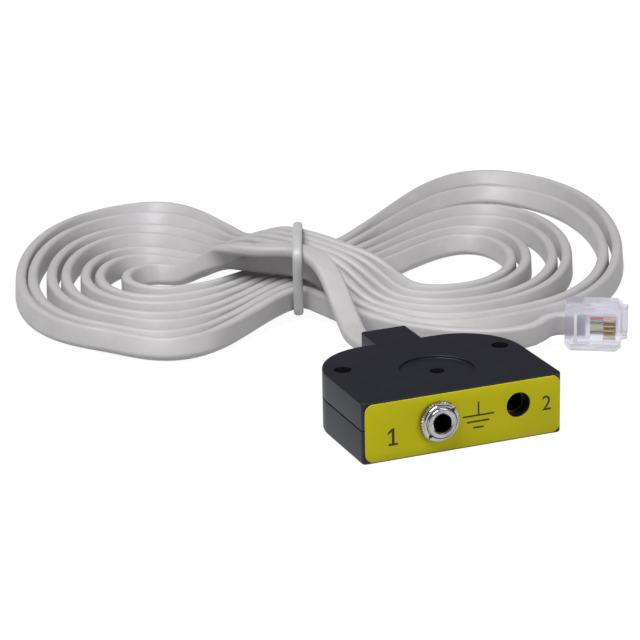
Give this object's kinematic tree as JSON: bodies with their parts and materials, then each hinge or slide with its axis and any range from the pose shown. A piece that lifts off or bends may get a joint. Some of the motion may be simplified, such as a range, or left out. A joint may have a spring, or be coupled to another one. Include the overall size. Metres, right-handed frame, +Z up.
{
  "type": "wrist strap monitor remote jack box",
  "caption": "Low black D-shaped jack box with a yellow front label, a nickel jack and a socket, on a flat grey cable tied in a hank and ending in a clear modular plug.",
  "frame": {"origin": "centre of the base of the box's bounding box, on the surface that the box and its cable lie on", "axes": "+Z up, -Y out of the labelled front face, +X to the right of the front face"},
  "size_m": [0.1486, 0.1737, 0.018],
  "materials": {
    "shell": "fine matte moulded grain",
    "label": "satin printed film",
    "nickel": "bright nickel plate",
    "steel": "zinc plated",
    "brass": "plain",
    "gold": "gold plated",
    "dark_plastic": "plain",
    "cable": "satin flexible jacket",
    "tie": "satin",
    "clear_plastic": "clear, slightly frosted",
    "red_wire": "plain",
    "green_wire": "plain",
    "yellow_wire": "plain",
    "black_wire": "plain"
  },
  "bodies": {
    "remote": {"lower_housing": "shell", "upper_housing": "shell", "assembly_screw": "steel", "front_label": "label", "jack_bushing": "nickel", "knurled_nut": "nickel", "jack_washer": "steel", "sleeve_lug": "brass", "jack_body": "dark_plastic", "tip_lug": "brass", "shunt_contact": "brass", "aux_insulator": "dark_plastic", "aux_socket": "brass", "cable_tail": "cable", "wire_yellow": "yellow_wire", "wire_red": "red_wire", "wire_green": "green_wire", "wire_black": "black_wire", "plug_body": "clear_plastic", "cable_hank": "cable", "cable_lead": "cable", "cable_to_plug": "cable", "hank_tie": "tie", "plug_contact_1": "gold", "plug_contact_2": "gold", "plug_contact_3": "gold", "plug_contact_4": "gold", "plug_conductor_1": "black_wire", "plug_conductor_2": "yellow_wire", "plug_conductor_3": "green_wire", "plug_conductor_4": "red_wire"},
    "latch": {"plug_latch": "clear_plastic"},
    "spring": {"tip_spring": "brass"}
  },
  "joints": [
    {"name": "latch_flex", "type": "hinge", "parent": "remote", "child": "latch", "pos_m": [0.05666, 0.02332, 0.00483], "axis": [0, 0, 1], "range_deg": [0, 11], "stiffness_Nm_per_rad": 0.04},
    {"name": "tip_spring_flex", "type": "hinge", "parent": "remote", "child": "spring", "pos_m": [-0.0053, -0.00547, 0.0043], "axis": [1, 0, 0], "range_deg": [0, 7], "stiffness_Nm_per_rad": 0.02}
  ]
}
